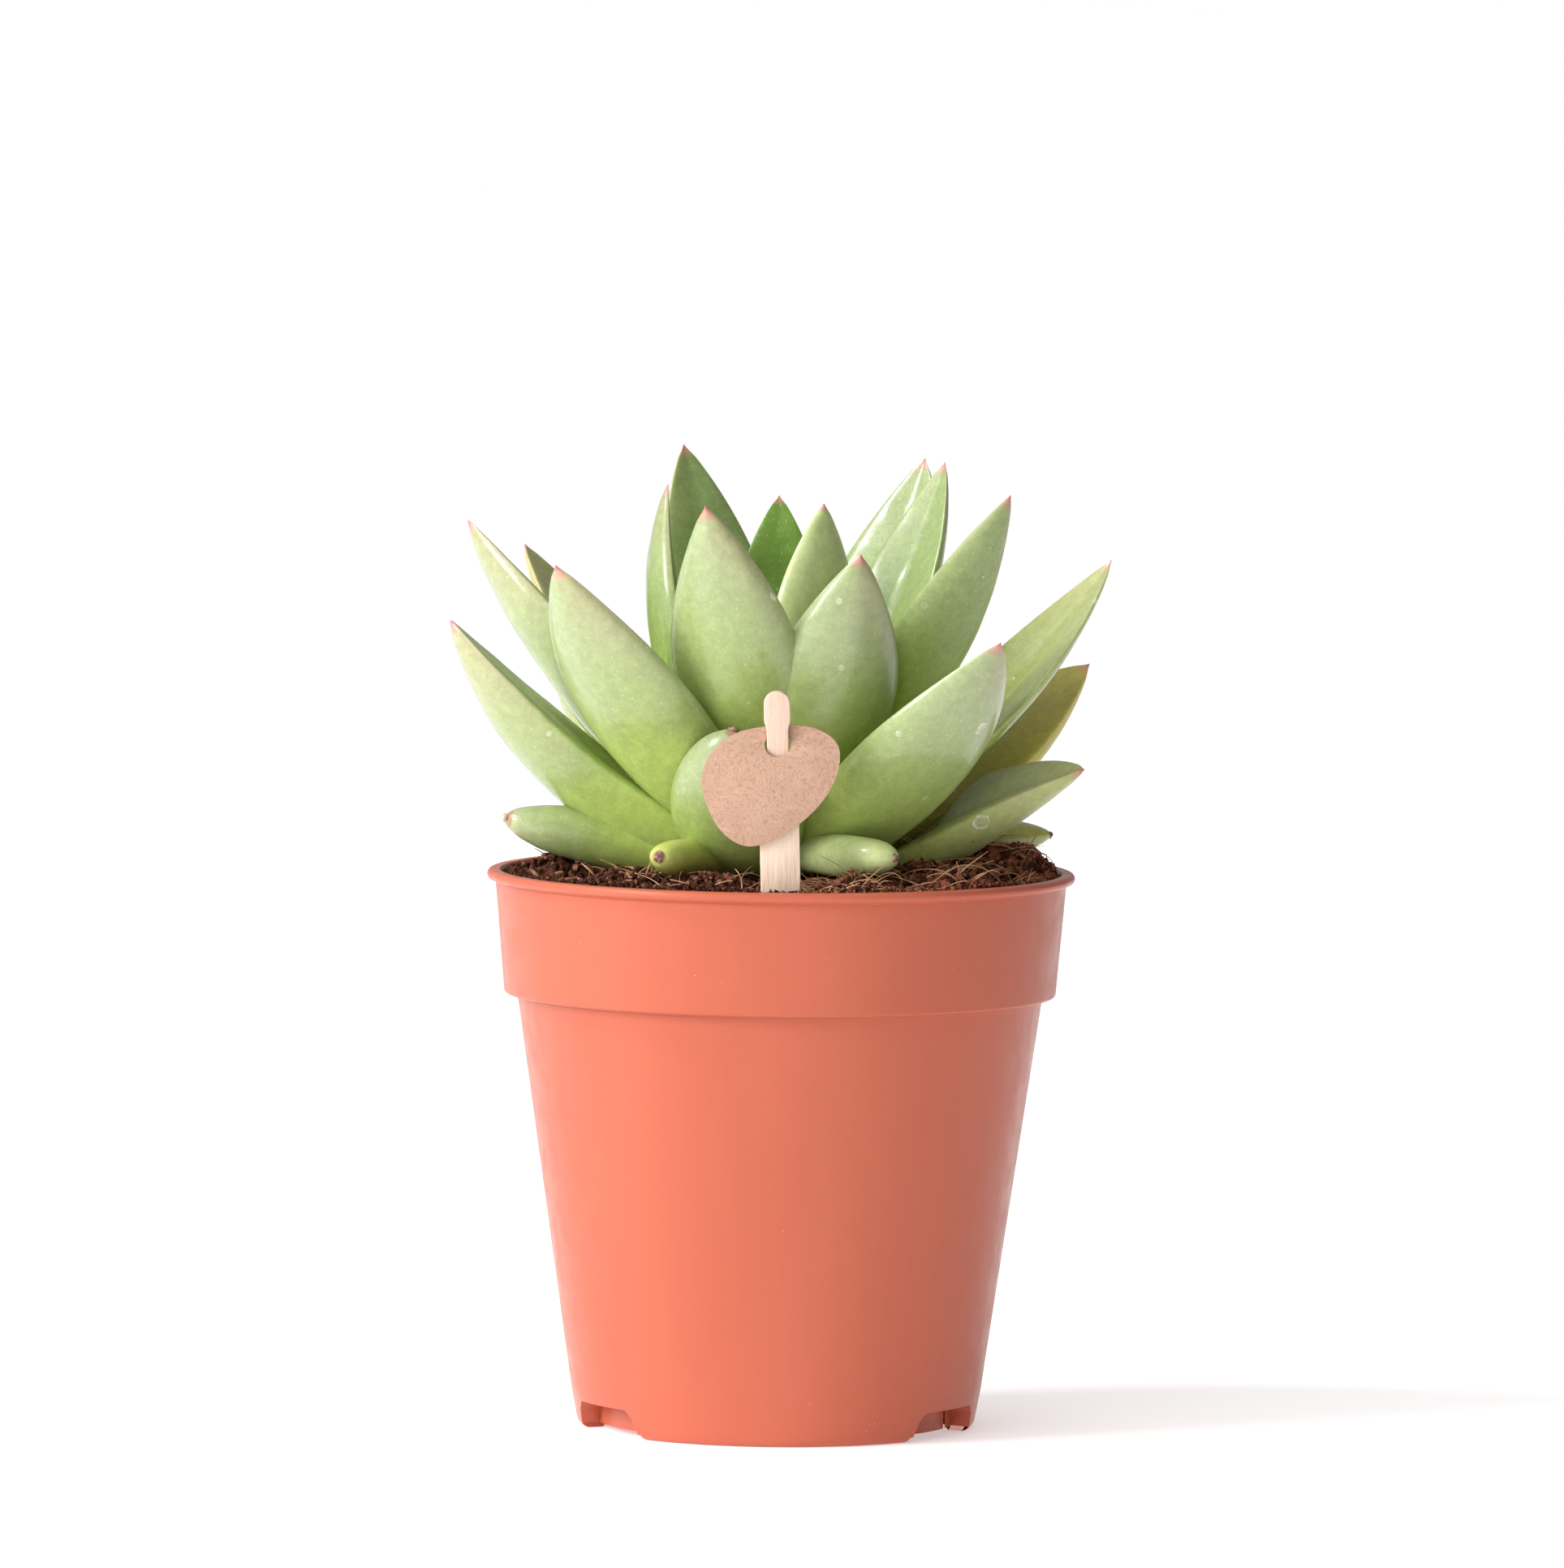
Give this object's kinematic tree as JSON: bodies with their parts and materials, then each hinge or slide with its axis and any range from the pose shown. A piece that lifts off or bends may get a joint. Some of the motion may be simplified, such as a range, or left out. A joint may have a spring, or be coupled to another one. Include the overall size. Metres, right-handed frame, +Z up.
{
  "type": "potted echeveria",
  "caption": "Rosette of thick, pointed, pale green succulent leaves with pink tips, in a tapered terracotta-coloured plastic pot of peat, with a wooden stick holding a bare card tag.",
  "frame": {"origin": "on the ground, in the middle of the pot's foot", "axes": "+Z up along the pot's axis, -Y towards the front, where the label stands"},
  "size_m": [0.0993, 0.0886, 0.147],
  "materials": {
    "pot_plastic": "satin terracotta-coloured polypropylene",
    "peat": "crumbly dark brown peat and coir",
    "leaf": "waxy pale green with a satin bloom",
    "stick_wood": "raw pale wood",
    "tag_card": "bare kraft card"
  },
  "bodies": {
    "root": {"pot": "pot_plastic", "soil": "peat", "rosette": "leaf", "label_stick": "stick_wood", "label_tag": "tag_card"}
  },
  "joints": []
}
